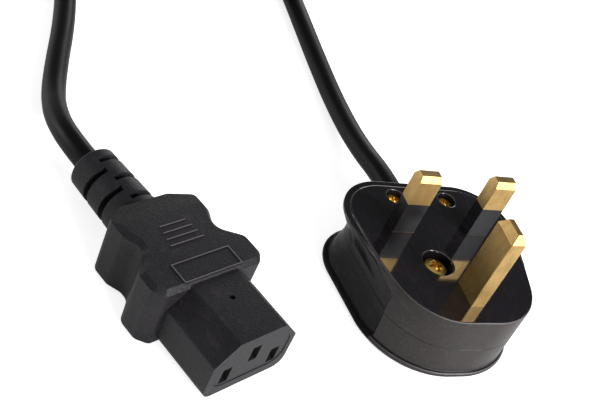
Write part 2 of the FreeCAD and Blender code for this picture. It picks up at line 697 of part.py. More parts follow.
def connector_details(body):
    """Raised grip lines and label frame on top, dimple on the nose."""
    low, top = body_high - mark_line, body_high + mark_high
    marks = []
    for i in range(4):
        y = waist_y + waist_run - 3.9 + 1.95 * i
        marks.append(mid_box(0, y, nose_half * 0.8 - 0.75 * i, mark_line, low, top))
    half = nose_half * 0.69
    y0, y1 = nose_length + 0.9, nose_length + shoulder_rise + 4.0
    frame = box(-half, half, y0, y1, low, top)
    frame = frame.cut(box(-half + mark_line, half - mark_line, y0 + mark_line, y1 - mark_line,
                          low, top))
    for piece in marks + [frame]:
        body = body.fuse(piece)
    return body.cut(disc(0, nose_length * 0.66, 0.7, nose_high - 1.0, nose_high + 1.0))


def contact_carrier_outline(y):
    """Insert seen at the front face: a slot shape round the three sockets."""
    centre = (live_slot_high + live_slot_high + socket_rise) / 2.0
    w, h = carrier_half, (socket_rise + contact_z) / 2.0 + carrier_rim
    pts = [(-w, centre - h), (w, centre - h), (w, centre + h), (-w, centre + h)]
    flat = rounded_wire(pts, [carrier_corner_r] * 4, 0.0)
    flat.rotate(V(0, 0, 0), V(1, 0, 0), 90)
    flat.translate(V(0, y, 0))
    return flat


def sockets():
    """Name, X and height of the three sockets."""
    return [("live", -socket_pitch, live_slot_high), ("neutral", socket_pitch, live_slot_high),
            ("earth", 0.0, live_slot_high + socket_rise)]


def connector_body():
    plan = Part.Face(connector_plan()).extrude(UP * body_high)
    plan = plan.makeChamfer(body_edge, [e for e in plan.Edges if e.BoundBox.ZLength < 0.01])
    grip = plan.common(connector_side())
    nose = Part.Face(nose_section(0.0)).extrude(V(0, nose_length + 1.0, 0))
    body = grip.fuse(nose).fuse(relief())
    body = connector_details(body)
    room = Part.Face(contact_carrier_outline(-1.0)).extrude(V(0, carrier_depth + 1.0, 0))
    return body.cut(room).removeSplitter()


def contact_carrier():
    carrier = Part.Face(contact_carrier_outline(carrier_sunk)).extrude(
        V(0, carrier_depth - carrier_sunk, 0))
    for _, x, z in sockets():
        mouth = box(x - slot_x / 2, x + slot_x / 2, -1, contact_sunk + 1.0,
                    z - slot_z / 2, z + slot_z / 2)
        room = box(x - contact_x / 2, x + contact_x / 2, contact_sunk, carrier_depth,
                   z - contact_z / 2, z + contact_z / 2)
        carrier = carrier.cut(mouth).cut(room)
    return carrier


def socket_contact(x, z):
    """Folded sheet contact with a crimped barrel behind it."""
    y0, y1 = contact_sunk, contact_sunk + contact_length
    tube_box = box(x - contact_x / 2, x + contact_x / 2, y0, y1,
                   z - contact_z / 2, z + contact_z / 2)
    gap = box(x - contact_x / 2 + contact_sheet, x + contact_x / 2 - contact_sheet,
              y0 - 1, y1 - contact_sheet,
              z - contact_z / 2 + contact_sheet, z + contact_z / 2 - contact_sheet)
    seam = box(x - 0.2, x + 0.2, y0, y1, z + contact_z / 2 - 1.0, z + contact_z)
    barrel = Part.makeCylinder(barrel_r, barrel_length, V(x, y1, z), V(0, 1, 0))
    return tube_box.cut(gap).cut(seam).fuse(barrel)


def place_connector(shape):
    shape = shape.copy()
    shape.rotate(V(0, 0, 0), UP, conn_turn)
    shape.translate(V(conn_x, conn_y, 0))
    return shape


def connector_tail(beyond):
    """Point on the cord's axis so far beyond the end of the connector's sleeve."""
    turn = math.radians(conn_turn)
    reach = body_back + relief_length + beyond
    return (conn_x - math.sin(turn) * reach, conn_y + math.cos(turn) * reach, axis_high)


def build():
    os.makedirs("parts", exist_ok=True)
    shell = plug_shell()
    save(plug_base(shell), "plug_base")
    save(plug_cover(shell), "plug_cover")
    save(live_pin(), "live_pin")
    save(neutral_pin(), "neutral_pin")
    save(earth_pin(), "earth_pin")
    save(pin_sleeve(live_x), "live_pin_sleeve")
    save(pin_sleeve(neutral_x), "neutral_pin_sleeve")
    save(headed_screw(screw_x, screw_y, cover_screw_head_r, cover_screw_head_h, cover_screw_r,
                      screw_seat_z, screw_seat_z - cover_screw_length, cross_width),
         "cover_screw")
    insert = disc(screw_x, screw_y, insert_r, post_z - insert_length, post_z)
    save(insert.cut(disc(screw_x, screw_y, cover_screw_r, 0, face_z)), "cover_screw_insert")
    for side, name in ((-1, "left"), (1, "right")):
        save(headed_screw(side * grip_screw_x, grip_y, grip_screw_head_r, grip_screw_head_h,
                          grip_screw_r, grip_seat_z, bar_low, grip_cross_width),
             "cord_grip_screw_" + name)
    save(cord_grip_bar(), "cord_grip_bar")
    save(terminal_screw(neutral_x, pin_y, neutral_entry().z - conductor_d / 2.0),
         "neutral_terminal_screw")
    save(terminal_screw(0, earth_y, earth_entry().z - conductor_d / 2.0),
         "earth_terminal_screw")
    save(live_terminal_screw(), "live_terminal_screw")
    save(live_terminal(), "live_terminal")
    save(fuse_saddle(pin_y), "fuse_clip")
    save(fuse_tube(), "fuse_tube")
    save(fuse_cap(fuse_far_y, -1), "fuse_cap_far")
    save(fuse_cap(fuse_far_y + fuse_length, 1), "fuse_cap_near")
    for name, points in wire_cores().items():
        save(insulated_core(points, name), name)
    save(tube(plug_route, cord_r, "cord_plug_run"), "cord_plug_run")
    strap = coil_tie()
    save(strap, "coil_tie")
    save(cord_coil(strap), "cord_coil")
    route = [connector_tail(0.0), connector_tail(relief_lead)] + connector_route
    save(tube(route, cord_r, "cord_connector_run"), "cord_connector_run")
    save(place_connector(connector_body()), "connector_body")
    save(place_connector(contact_carrier()), "contact_carrier")
    for name, x, z in sockets():
        save(place_connector(socket_contact(x, z)), "connector_" + name + "_contact")


build()
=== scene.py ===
import json
import math

import bmesh
import bpy
from mathutils import Matrix, Vector


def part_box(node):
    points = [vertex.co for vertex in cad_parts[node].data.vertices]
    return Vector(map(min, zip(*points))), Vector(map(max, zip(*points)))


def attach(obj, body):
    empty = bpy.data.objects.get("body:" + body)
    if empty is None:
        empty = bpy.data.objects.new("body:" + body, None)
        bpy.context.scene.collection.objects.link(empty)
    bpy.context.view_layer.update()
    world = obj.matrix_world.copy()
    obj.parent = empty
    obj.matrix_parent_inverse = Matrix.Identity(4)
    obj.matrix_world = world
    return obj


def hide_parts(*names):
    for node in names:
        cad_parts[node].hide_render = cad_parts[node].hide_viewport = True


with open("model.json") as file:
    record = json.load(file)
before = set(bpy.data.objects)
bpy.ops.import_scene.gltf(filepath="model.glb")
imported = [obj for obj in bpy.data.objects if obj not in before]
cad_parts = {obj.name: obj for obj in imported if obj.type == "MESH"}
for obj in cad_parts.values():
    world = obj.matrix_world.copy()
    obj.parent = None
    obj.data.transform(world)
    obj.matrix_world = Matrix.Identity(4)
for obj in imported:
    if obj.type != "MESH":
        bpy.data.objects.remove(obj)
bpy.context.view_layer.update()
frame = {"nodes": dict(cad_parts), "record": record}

MM = 0.001
NODES = frame["nodes"]
SLOTS = {p["node"]: p["material_slot"] for p in frame["record"]["subparts"]}

bl_info = {
    "name": "Three pin plug lead",
    "version": (1, 0, 0),
    "blender": (4, 5, 0),
    "location": "3D View > Sidebar > Lead",
    "description": "Dresses a mains lead: plug, cord, coil and appliance connector, and its studio stage",
    "category": "Object",
}


# Sizes and colours a user would change

class LeadFinish(bpy.types.PropertyGroup):
    """Colours and surface of the plug, the connector and the metal."""

    housing_colour: bpy.props.FloatVectorProperty(
        name="Housing", description="Hard plastic of the plug", subtype="COLOR",
        default=(0.0072, 0.0062, 0.0078), min=0.0, max=1.0)
    housing_gloss: bpy.props.FloatProperty(
        name="Face roughness", description="Polished pin face", subtype="FACTOR",
        default=0.085, min=0.0, max=1.0)
    wall_colour: bpy.props.FloatVectorProperty(
        name="Handled walls", description="Same plastic, dulled by handling", subtype="COLOR",
        default=(0.0182, 0.0152, 0.0145), min=0.0, max=1.0)
    wall_rough: bpy.props.FloatProperty(
        name="Wall roughness", description="Handled side walls", subtype="FACTOR",
        default=0.36, min=0.0, max=1.0)
    brass_colour: bpy.props.FloatVectorProperty(
        name="Brass", description="Solid brass of the pins", subtype="COLOR",
        default=(0.6, 0.402, 0.16), min=0.0, max=1.0)
    brass_rough: bpy.props.FloatProperty(
        name="Brass roughness", description="Brushed faces of the pins", subtype="FACTOR",
        default=0.42, min=0.0, max=1.0)
    sleeve_colour: bpy.props.FloatVectorProperty(
        name="Sleeve", description="Insulating sleeve on two pins", subtype="COLOR",
        default=(0.013, 0.0125, 0.0145), min=0.0, max=1.0)
    connector_colour: bpy.props.FloatVectorProperty(
        name="Connector", description="Soft moulded plastic of the connector", subtype="COLOR",
        default=(0.0106, 0.0095, 0.0113), min=0.0, max=1.0)
    edge_round: bpy.props.FloatProperty(
        name="Edge rounding", description="Radius of the moulded edges", subtype="DISTANCE",
        default=0.00045, min=0.00005, max=0.001)


class LeadCord(bpy.types.PropertyGroup):
    """The flexible cord."""

    diameter: bpy.props.FloatProperty(
        name="Diameter", description="Outside of the sheath", subtype="DISTANCE",
        default=0.0064, min=0.004, max=0.01)
    length: bpy.props.FloatProperty(
        name="Length", description="Whole cord from plug to connector", subtype="DISTANCE",
        default=1.48, min=0.5, max=3.0)
    sheath_colour: bpy.props.FloatVectorProperty(
        name="Sheath", description="Colour of the sheath", subtype="COLOR",
        default=(0.004, 0.0036, 0.0041), min=0.0, max=1.0)
    coil_radius: bpy.props.FloatProperty(
        name="Coil radius", description="Middle of the put-away turns", subtype="DISTANCE",
        default=0.034, min=0.03, max=0.06)
    coil_steps: bpy.props.IntProperty(
        name="Points a turn", description="Control points in each turn of the coil",
        default=16, min=12, max=32)


class LeadStage(bpy.types.PropertyGroup):
    """Camera, lamps and floor."""

    lens: bpy.props.FloatProperty(
        name="Lens", description="Focal length on a 36 mm wide sensor", unit="CAMERA",
        default=63.4, min=20.0, max=200.0)
    floor_colour: bpy.props.FloatVectorProperty(
        name="Floor", description="Plain pale floor", subtype="COLOR",
        default=(0.86, 0.86, 0.86), min=0.0, max=1.0)
    key_power: bpy.props.FloatProperty(
        name="Key lamp", description="Large lamp over the pins", unit="POWER",
        default=5.5, min=0.0, max=100.0)
    fill_power: bpy.props.FloatProperty(
        name="Fill lamp", description="Lamp in front", unit="POWER",
        default=4.1, min=0.0, max=100.0)
    rim_power: bpy.props.FloatProperty(
        name="Rim lamp", description="Lamp behind", unit="POWER",
        default=1.1, min=0.0, max=100.0)
    side_power: bpy.props.FloatProperty(
        name="Side lamp", description="Low lamp on the left", unit="POWER",
        default=1.6, min=0.0, max=100.0)
    sky_low: bpy.props.FloatProperty(
        name="Surroundings", description="Light from round about, near the floor",
        default=0.07, min=0.0, max=2.0)
    sky_high: bpy.props.FloatProperty(
        name="Overhead", description="Light from straight above",
        default=0.48, min=0.0, max=2.0)


# Places and edges on the plug

# Upper edge of the finger grips on the walls, as Y and depth below the pin face: it rises from
# the grips' front end to the rim. Round the grips the walls are dulled by handling; the grips
# themselves take a darker, duller copy of the plastic as painted shade.
GRIP_END = (-0.01195, 0.0038)
GRIP_RIM = (-0.00255, 0.0012)
GRIP_LEAN = 0.092            # the front end's shift towards -Y with depth

RIM_DEPTH = 3.1 * MM         # the rim over the grips ends at this depth below the pin face
FACE_EDGE = 0.3 * MM         # edges this close to the pin face are its own
FACE_LEVELS = 1.0 * MM       # the face and its raised plateau lie within this depth
LEVEL = 0.9                  # least Z of a level face's normal
PIN_MARGIN = 1.0 * MM        # this close to the pins the holes keep their sharp edge
TOUCH = 0.1 * MM             # closer than this counts as the same height

# Rounding as a share: from the face down to the rim's end, and along the joint of the halves
RIM_SHARE = 0.5
JOINT_SHARE = 0.3

PIN_ROUND = 0.12 * MM        # edges of the bare brass
FINE_ROUND = 0.08 * MM       # edges of sleeves, screws and the contact insert


# Places and edges on the connector

# Middle of the connector's front face on the floor, and its axis from there to the cord
NOSE_END = (-0.0573, -0.0252, 0.0)
NOSE_AXIS = (-0.40674, 0.91355, 0.0)

# Cavity of the nose that holds the contact insert: half its width, floor, roof and depth
CAVITY_HALF = 10.5 * MM
CAVITY_FLOOR = 3.0 * MM
CAVITY_ROOF = 14.8 * MM
CAVITY_DEPTH = 16.0 * MM

MARK_HEIGHT = 0.3 * MM       # the raised marks on the back, with their foot
MARK_TOP = 0.02 * MM         # faces this close to their top are the marks' own
MARK_SHARE = 0.2             # rounding of the marks' upper edges, as a share
SLOT_DEPTH = 0.4 * MM        # faces of the insert deeper than this lie in its slots


# The cord's route: from the grip in the plug, by the coil, to the connector

PLUG_ROUTE = [(0.0, 0.01535, 0.0101), (0.0, 0.0345, 0.0101), (0.0, 0.056, 0.0054),
              (0.0011, 0.078, 0.0032), (0.002, 0.1, 0.0032), (0.0033, 0.121, 0.0032),
              (0.0044, 0.14, 0.0032), (0.0044, 0.151, 0.0032)]
CONNECTOR_ROUTE = [(-0.0764, 0.151, 0.0032), (-0.0756, 0.1325, 0.0032),
                   (-0.0773, 0.1155, 0.0032), (-0.0805, 0.0985, 0.0032),
                   (-0.0844, 0.0825, 0.0032), (-0.0875, 0.0675, 0.0034),
                   (-0.0889, 0.0545, 0.0066), (-0.08755, 0.04274, 0.009),
                   (-0.08374, 0.03418, 0.009)]
COIL_CENTRE = (-0.036, 0.184)
COIL_TURNS = 5.5

# Distances along Y from the coil's centre to the cord's last point before the coil, and after
# the coil to where it still lies high and to where it comes down
COIL_ENTRY = 8.0 * MM
COIL_LEVEL = 12.0 * MM
COIL_DOWN = 22.0 * MM


# The stage

CAMERA_PLACE = (-0.15154, -0.15497, 0.17582)
CAMERA_RIGHT = (0.8943, -0.2827, 0.3469)
CAMERA_UP = (-0.0544, 0.7008, 0.7113)
CAMERA_BACK = (-0.4442, -0.6550, 0.6113)
SENSOR_WIDTH = 36.0          # millimetres, as the lens
LAMP_AIM = (-0.02, 0.0, 0.01)
FLOOR_HALF = 6.0             # half its width
FLOOR_DROP = 0.02 * MM       # keeps the floor clear of what lies on it

FLOOR_SEEN = 0.8             # what the floor gains to look white
FLOOR_MIRRORED = 0.28        # the same in reflections
SWEEP_SPAN = (0.05, 0.28)    # heights over which the white sweep ends, in reflections
SKY_SPAN = (0.62, 1.0)       # heights over which the light from above grows


# Shader building

def new_group(name, inputs, outputs):
    """Shader node group with float or colour sockets; gives the group and its two end nodes."""
    group = bpy.data.node_groups.new(name, "ShaderNodeTree")
    for label, kind, value in inputs:
        socket = group.interface.new_socket(name=label, in_out="INPUT", socket_type=kind)
        socket.default_value = value
    for label, kind in outputs:
        group.interface.new_socket(name=label, in_out="OUTPUT", socket_type=kind)
    return group, group.nodes.new("NodeGroupInput"), group.nodes.new("NodeGroupOutput")


def feed(tree, socket, value):
    """Link a socket to another one, or set it to a number or colour."""
    if isinstance(value, bpy.types.NodeSocket):
        tree.links.new(value, socket)
    else:
        socket.default_value = value


def math_node(tree, operation, a, b):
    node = tree.nodes.new("ShaderNodeMath")
    node.operation = operation
    feed(tree, node.inputs[0], a)
    feed(tree, node.inputs[1], b)
    return node.outputs[0]


def mix_colour(tree, factor, a, b):
    node = tree.nodes.new("ShaderNodeMix")
    node.data_type = "RGBA"
    for socket, value in ((node.inputs[0], factor), (node.inputs[6], a), (node.inputs[7], b)):
        feed(tree, socket, value)
    return node.outputs[2]


def noise(tree, vector, scale, detail=3.0, rough=0.55):
    node = tree.nodes.new("ShaderNodeTexNoise")
    feed(tree, node.inputs["Vector"], vector)
    feed(tree, node.inputs["Scale"], scale)
    feed(tree, node.inputs["Detail"], detail)
    feed(tree, node.inputs["Roughness"], rough)
    return node.outputs["Fac"]


def remap(tree, value, low, high, out_low, out_high):
    """Straight change from one range to another, held at its ends."""
    node = tree.nodes.new("ShaderNodeMapRange")
    for label, number in (("Value", value), ("From Min", low), ("From Max", high),
                          ("To Min", out_low), ("To Max", out_high)):
        feed(tree, node.inputs[label], number)
    return node.outputs["Result"]


def object_place(tree, stretch=(1.0, 1.0, 1.0), turn=0.0):
    """Place on the object, turned about Z and squeezed by stretch."""
    place = tree.nodes.new("ShaderNodeTexCoord")
    mapping = tree.nodes.new("ShaderNodeMapping")
    mapping.inputs["Rotation"].default_value[2] = turn
    mapping.inputs["Scale"].default_value = stretch
    tree.links.new(place.outputs["Object"], mapping.inputs["Vector"])
    return mapping.outputs["Vector"]


def looked_at(tree):
    """Two masks: rays of the camera or through clear pieces, and rays of reflections."""
    path = tree.nodes.new("ShaderNodeLightPath")
    seen = math_node(tree, "MAXIMUM", path.outputs["Is Camera Ray"],
                     path.outputs["Is Transmission Ray"])
    return seen, path.outputs["Is Glossy Ray"]


def edge_chafe_and_highlight(tree, cloud, amount):
    """Mask of the rounded upper edges, which lean between upright and level, broken by a cloud: pale
    there partly from chafing and partly as a painted highlight.
    """
    surface = tree.nodes.new("ShaderNodeTexCoord")
    lean = tree.nodes.new("ShaderNodeSeparateXYZ")
    tree.links.new(surface.outputs["Normal"], lean.inputs[0])
    rounded = math_node(tree, "MULTIPLY", remap(tree, lean.outputs["Z"], 0.4, 0.6, 0.0, 1.0),
                        remap(tree, lean.outputs["Z"], 0.88, 0.97, 1.0, 0.0))
    broken = math_node(tree, "MULTIPLY", remap(tree, cloud, 0.35, 0.6, 0.3, 1.0), amount)
    return math_node(tree, "MULTIPLY", rounded, broken)


def build_grain_group():
    """Moulded plastic: fine grain, clouding, handling marks, scratches, and pale upper edges that are
    partly chafing and partly a painted highlight.
    """
    colour, value = "NodeSocketColor", "NodeSocketFloat"
    group, start, end = new_group(
        "moulded_grain",
        [("Base", colour, (0.05, 0.05, 0.05, 1.0)), ("Worn", colour, (0.1, 0.1, 0.1, 1.0)),
         ("Grain scale", value, 2500.0), ("Roughness", value, 0.4), ("Spread", value, 0.1),
         ("Marks", value, 0.3), ("Scratches", value, 0.0),
         ("Edge", colour, (0.2, 0.2, 0.2, 1.0)), ("Edge chafe and highlight", value, 0.0)],
        [("Color", colour), ("Roughness", value), ("Height", value)])
    given = start.outputs
    place = object_place(group)
    cloud = noise(group, place, scale=55.0, detail=4.0)
    grain = noise(group, place, scale=given["Grain scale"], detail=2.0)
    streak = noise(group, object_place(group, stretch=(0.45, 0.45, 2.4)),
                   scale=420.0, detail=5.0, rough=0.7)
    lines = []
    for turn in (0.5, -0.9):
        drawn = noise(group, object_place(group, stretch=(1.0, 0.04, 0.3), turn=turn),
                      scale=2400.0, detail=1.0)
        lines.append(remap(group, drawn, 0.67, 0.72, 0.0, 1.0))

    scratch = math_node(group, "MULTIPLY", math_node(group, "MAXIMUM", *lines),
                        given["Scratches"])
    marks = math_node(group, "MULTIPLY", remap(group, streak, 0.56, 0.74, 0.0, 1.0),
                      given["Marks"])
    clouded = math_node(group, "MULTIPLY", remap(group, cloud, 0.35, 0.7, 0.0, 0.35),
                        given["Marks"])
    speckle = math_node(group, "MULTIPLY", remap(group, grain, 0.35, 0.7, 0.0, 0.4),
                        given["Marks"])
    worn = math_node(group, "ADD", math_node(group, "ADD", marks, clouded),
                     math_node(group, "ADD", speckle, scratch))
    handled = mix_colour(group, worn, given["Base"], given["Worn"])
    # pale upper edges: partly chafing, partly a painted highlight
    chafe_and_highlight = edge_chafe_and_highlight(group, cloud, given["Edge chafe and highlight"])
    feed(group, end.inputs["Color"], mix_colour(group, chafe_and_highlight, handled, given["Edge"]))

    swing = math_node(group, "MULTIPLY", math_node(group, "SUBTRACT", cloud, 0.5),
                      given["Spread"])
    rough = math_node(group, "ADD", math_node(group, "ADD", given["Roughness"], swing),
                      math_node(group, "MULTIPLY", marks, 0.12))
    feed(group, end.inputs["Roughness"], rough)
    feed(group, end.inputs["Height"], grain)


def build_brushed_group():
    """Rolled or turned metal: fine lines along Z, slow changes of tone and small spots."""
    colour, value = "NodeSocketColor", "NodeSocketFloat"
    group, start, end = new_group(
        "brushed_metal",
        [("Base", colour, (0.7, 0.55, 0.27, 1.0)), ("Tarnish", colour, (0.4, 0.28, 0.12, 1.0)),
         ("Roughness", value, 0.3), ("Age", value, 0.35)],
        [("Color", colour), ("Roughness", value), ("Height", value)])
    given = start.outputs
    lines = noise(group, object_place(group, stretch=(1.0, 1.0, 0.03)),
                  scale=3200.0, detail=3.0, rough=0.6)
    slow = noise(group, object_place(group, stretch=(1.0, 1.0, 0.7)),
                 scale=230.0, detail=5.0, rough=0.65)
    spots = noise(group, object_place(group), scale=1500.0, detail=3.0, rough=0.7)

    aged = math_node(group, "MULTIPLY", remap(group, slow, 0.42, 0.68, 0.0, 1.0), given["Age"])
    fine = math_node(group, "ADD", remap(group, lines, 0.4, 0.7, 0.0, 0.35),
                     remap(group, spots, 0.52, 0.7, 0.0, 0.6))
    dulled = math_node(group, "ADD", aged, math_node(group, "MULTIPLY", fine, given["Age"]))
    feed(group, end.inputs["Color"], mix_colour(group, dulled, given["Base"], given["Tarnish"]))

    rough = math_node(group, "ADD", given["Roughness"],
                      remap(group, lines, 0.3, 0.7, -0.05, 0.09))
    feed(group, end.inputs["Roughness"], rough)
    feed(group, end.inputs["Height"], lines)


def surface_material(name, group, values, bump, depth, shader):
    """Principled material whose colour, roughness and bump come from a surface group.

    values are for the group's inputs, shader for the shader's own sockets. The CAD nodes come
    with a plain material of the same name, which steps aside."""
    plain = bpy.data.materials.get(name)
    if plain:
        plain.name = name + "_plain"
    material = bpy.data.materials.new(name)
    material.use_nodes = True
    tree = material.node_tree
    principled = tree.nodes["Principled BSDF"]
    surface = tree.nodes.new("ShaderNodeGroup")
    surface.node_tree = bpy.data.node_groups[group]
    lift = tree.nodes.new("ShaderNodeBump")
    lift.inputs["Strength"].default_value = bump
    lift.inputs["Distance"].default_value = depth
    for label, number in values.items():
        surface.inputs[label].default_value = number
    for label, number in shader.items():
        principled.inputs[label].default_value = number
    tree.links.new(surface.outputs["Color"], principled.inputs["Base Color"])
    tree.links.new(surface.outputs["Roughness"], principled.inputs["Roughness"])
    tree.links.new(surface.outputs["Height"], lift.inputs["Height"])
    tree.links.new(lift.outputs["Normal"], principled.inputs["Normal"])


def rgba(colour):
    """A colour, opaque."""
    return (colour[0], colour[1], colour[2], 1.0)


def times(colour, factor):
    """A lighter or darker colour, opaque."""
    return tuple(min(1.0, c * factor) for c in colour[:3]) + (1.0,)


CHAFE_AND_HIGHLIGHT_COLOUR = (0.14, 0.13, 0.13, 1.0)        # pale colour of the upper plastic edges: partly chafing, partly a painted highlight


def plastic(name, colour, rough, worn=2.2, grain=2500.0, bump=0.12, depth=0.02 * MM,
            marks=0.3, spread=0.1, scratches=0.0, shine=0.5, chafe_and_highlight=0.0):
    """Moulded plastic. worn is how much lighter handling makes it, grain the grain's scale, bump
    and depth its relief, marks, scratches and chafe_and_highlight the amounts of each kind of wear,
    the last also a painted highlight on the pale upper edges, spread the swing of the roughness and
    shine the strength of reflections."""
    surface_material(
        name, "moulded_grain",
        {"Base": rgba(colour), "Worn": times(colour, worn), "Grain scale": grain,
         "Roughness": rough, "Spread": spread, "Marks": marks, "Scratches": scratches,
         "Edge": CHAFE_AND_HIGHLIGHT_COLOUR, "Edge chafe and highlight": chafe_and_highlight},
        bump=bump, depth=depth, shader={"Specular IOR Level": shine})


def metal(name, colour, tarnish, rough, age=0.35):
    """Metal with the colour of its tarnish and how far it has tarnished."""
    surface_material(
        name, "brushed_metal",
        {"Base": rgba(colour), "Tarnish": rgba(tarnish), "Roughness": rough, "Age": age},
        bump=0.1, depth=0.01 * MM, shader={"Metallic": 1.0})


def build_materials(finish, cord):
    """The finishes of the record's slots, and those of single faces on the same pieces."""
    build_grain_group()
    build_brushed_group()

    # the pale upper edges of the housing are partly chafing and partly a painted highlight
    plastic("plug_gloss", finish.housing_colour, finish.housing_gloss, worn=4.0, grain=1800.0,
            bump=0.03, marks=0.4, spread=0.08, scratches=0.55, shine=0.82, chafe_and_highlight=0.5)
    for name in ("plug_wall", "plug_satin"):
        plastic(name, finish.wall_colour, finish.wall_rough, worn=2.8, grain=2200.0, bump=0.15,
                marks=1.0, spread=0.2, scratches=0.5, shine=0.32, chafe_and_highlight=0.8)
    # The finger grips take a darker, less shiny copy of the housing plastic: painted shade.
    plastic("plug_grip", finish.housing_colour, rough=0.24, worn=4.0, grain=2200.0, bump=0.1,
            marks=0.5, spread=0.2, scratches=0.5, shine=0.12)
    plastic("sleeve_plastic", finish.sleeve_colour, rough=0.3, worn=2.4, grain=1500.0, bump=0.04,
            marks=0.6, scratches=0.8, shine=0.22)

    brass = finish.brass_colour
    tarnished = (brass[0] * 0.62, brass[1] * 0.56, brass[2] * 0.45)
    metal("pin_brass", brass, tarnished, finish.brass_rough, age=0.6)
    metal("screw_brass", (0.85, 0.61, 0.17), (0.6, 0.4, 0.1), rough=0.3, age=0.5)
    metal("clip_bronze", (0.62, 0.42, 0.2), (0.35, 0.2, 0.08), rough=0.35)
    metal("fuse_cap_plated", (0.68, 0.66, 0.62), (0.5, 0.48, 0.42), rough=0.25, age=0.2)

    plastic("grip_plastic", (0.05, 0.048, 0.045), rough=0.5)
    plastic("fuse_ceramic", (0.82, 0.79, 0.72), rough=0.22, worn=0.9, grain=900.0, bump=0.03)
    plastic("core_brown", (0.16, 0.07, 0.03), rough=0.4, worn=1.4)
    plastic("core_blue", (0.02, 0.09, 0.42), rough=0.4, worn=1.4)
    plastic("core_green", (0.1, 0.34, 0.06), rough=0.4, worn=1.4)
    plastic("cord_sheath", cord.sheath_colour, rough=0.42, worn=2.4, grain=3000.0, bump=0.15,
            marks=0.5, spread=0.12, scratches=0.4, shine=0.14)
    plastic("tie_rubber", (0.025, 0.025, 0.027), rough=0.6, worn=1.8, grain=1400.0, bump=0.4)

    moulded = finish.connector_colour
    for name, depth in (("connector_plastic", 0.12 * MM), ("carrier_plastic", 0.1 * MM)):
        plastic(name, moulded, rough=0.46, worn=3.0, grain=1900.0, bump=1.0, depth=depth,
                marks=0.9, spread=0.12, scratches=0.3, shine=0.25)
    # Tops of the raised marks, much lighter than the body: painted highlight.
    plastic("connector_ridge", times(moulded, 11.0), rough=0.42, worn=1.6, grain=2300.0,
            bump=0.6, marks=0.7)
    # Inside of the insert's slots, darker than the insert: painted shade.
    plastic("carrier_slot", times(moulded, 0.2), rough=0.7, worn=1.2, grain=2300.0)


# Mesh building

WELD = 1e-6                  # corners closer than this are one
FLAT_ANGLE = 0.4             # degrees; triangles that lean less belong to one face
SHARP_ANGLE = 28.0           # degrees; edges that turn more are rounded
CONNECTOR_ANGLE = 24.0       # the same on the connector


def link(obj):
    bpy.context.scene.collection.objects.link(obj)
    return obj


def assign(obj, name):
    obj.data.materials.clear()
    obj.data.materials.append(bpy.data.materials[name])


def shade_by_angle(mesh, angle):
    """Smooth shading that breaks at edges sharper than the angle."""
    if "custom_normal" in mesh.attributes:
        mesh.attributes.remove(mesh.attributes["custom_normal"])
    mesh.shade_smooth()
    mesh.set_sharp_from_angle(angle=math.radians(angle))


def refined(node, name, width, segments=2, sharp=SHARP_ANGLE, weigh=None, clamp=True):
    """Copy of a CAD node with its small triangles joined and its edges rounded.

    weigh gives the share of the rounding for an edge from its middle point."""
    mesh = NODES[node].data.copy()
    mesh.name = name
    work = bmesh.new()
    work.from_mesh(mesh)
    bmesh.ops.remove_doubles(work, verts=work.verts, dist=WELD)
    bmesh.ops.dissolve_limit(work, angle_limit=math.radians(FLAT_ANGLE), verts=work.verts,
                             edges=work.edges, use_dissolve_boundaries=False)
    share = work.edges.layers.float.new("bevel_weight_edge")
    for edge in work.edges:
        if len(edge.link_faces) == 2 and edge.calc_face_angle() > math.radians(sharp):
            middle = (edge.verts[0].co + edge.verts[1].co) / 2.0
            edge[share] = weigh(middle) if weigh else 1.0
    work.to_mesh(mesh)
    work.free()
    shade_by_angle(mesh, sharp)

    piece = link(bpy.data.objects.new(name, mesh))
    rounding = piece.modifiers.new("rounded_edges", "BEVEL")
    rounding.width = width
    rounding.segments = segments
    rounding.limit_method = "WEIGHT"
    rounding.harden_normals = True
    rounding.use_clamp_overlap = clamp
    assign(piece, SLOTS[node])
    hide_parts(node)
    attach(piece, "root")
    return piece


def add_finish(piece, name, chosen):
    """One more finish of a piece, on the faces that chosen picks."""
    piece.data.materials.append(bpy.data.materials[name])
    index = len(piece.data.materials) - 1
    for polygon in piece.data.polygons:
        if chosen(polygon):
            polygon.material_index = index


def ease(value):
    """Soft step from 0 to 1."""
    value = min(1.0, max(0.0, value))
    return value * value * (3.0 - 2.0 * value)


def coil_points(radius, diameter, steps):
    """Five and a half turns: three inwards on the floor, then up and outwards on top of them.

    Columns are counted outwards from the coil's middle one, in cord diameters. A change of
    column or layer takes a sixth of a turn."""
    points = []
    low, high = diameter / 2.0, diameter * 1.5
    swell = 1.0 / (0.75 + 0.25 * math.cos(2.0 * math.pi / steps))    # the spline cuts its corners
    for i in range(1, int(COIL_TURNS * steps)):
        turn = i / steps
        whole, sixths = int(turn), turn % 1.0 * 6.0
        if whole < 2:
            column, height = 1.0 - whole - ease(sixths - 5.0), low
        elif whole == 2:
            column, height = -1.0, low + (high - low) * ease(sixths - 4.0)
        elif whole < 5:
            column, height = whole - 4.0 + ease(sixths - 3.0), high
        else:
            column, height = 1.0, high
        reach = (radius + column * diameter) * swell
        angle = 2.0 * math.pi * turn
        points.append((COIL_CENTRE[0] + reach * math.cos(angle),
                       COIL_CENTRE[1] + reach * math.sin(angle), height))
    return points


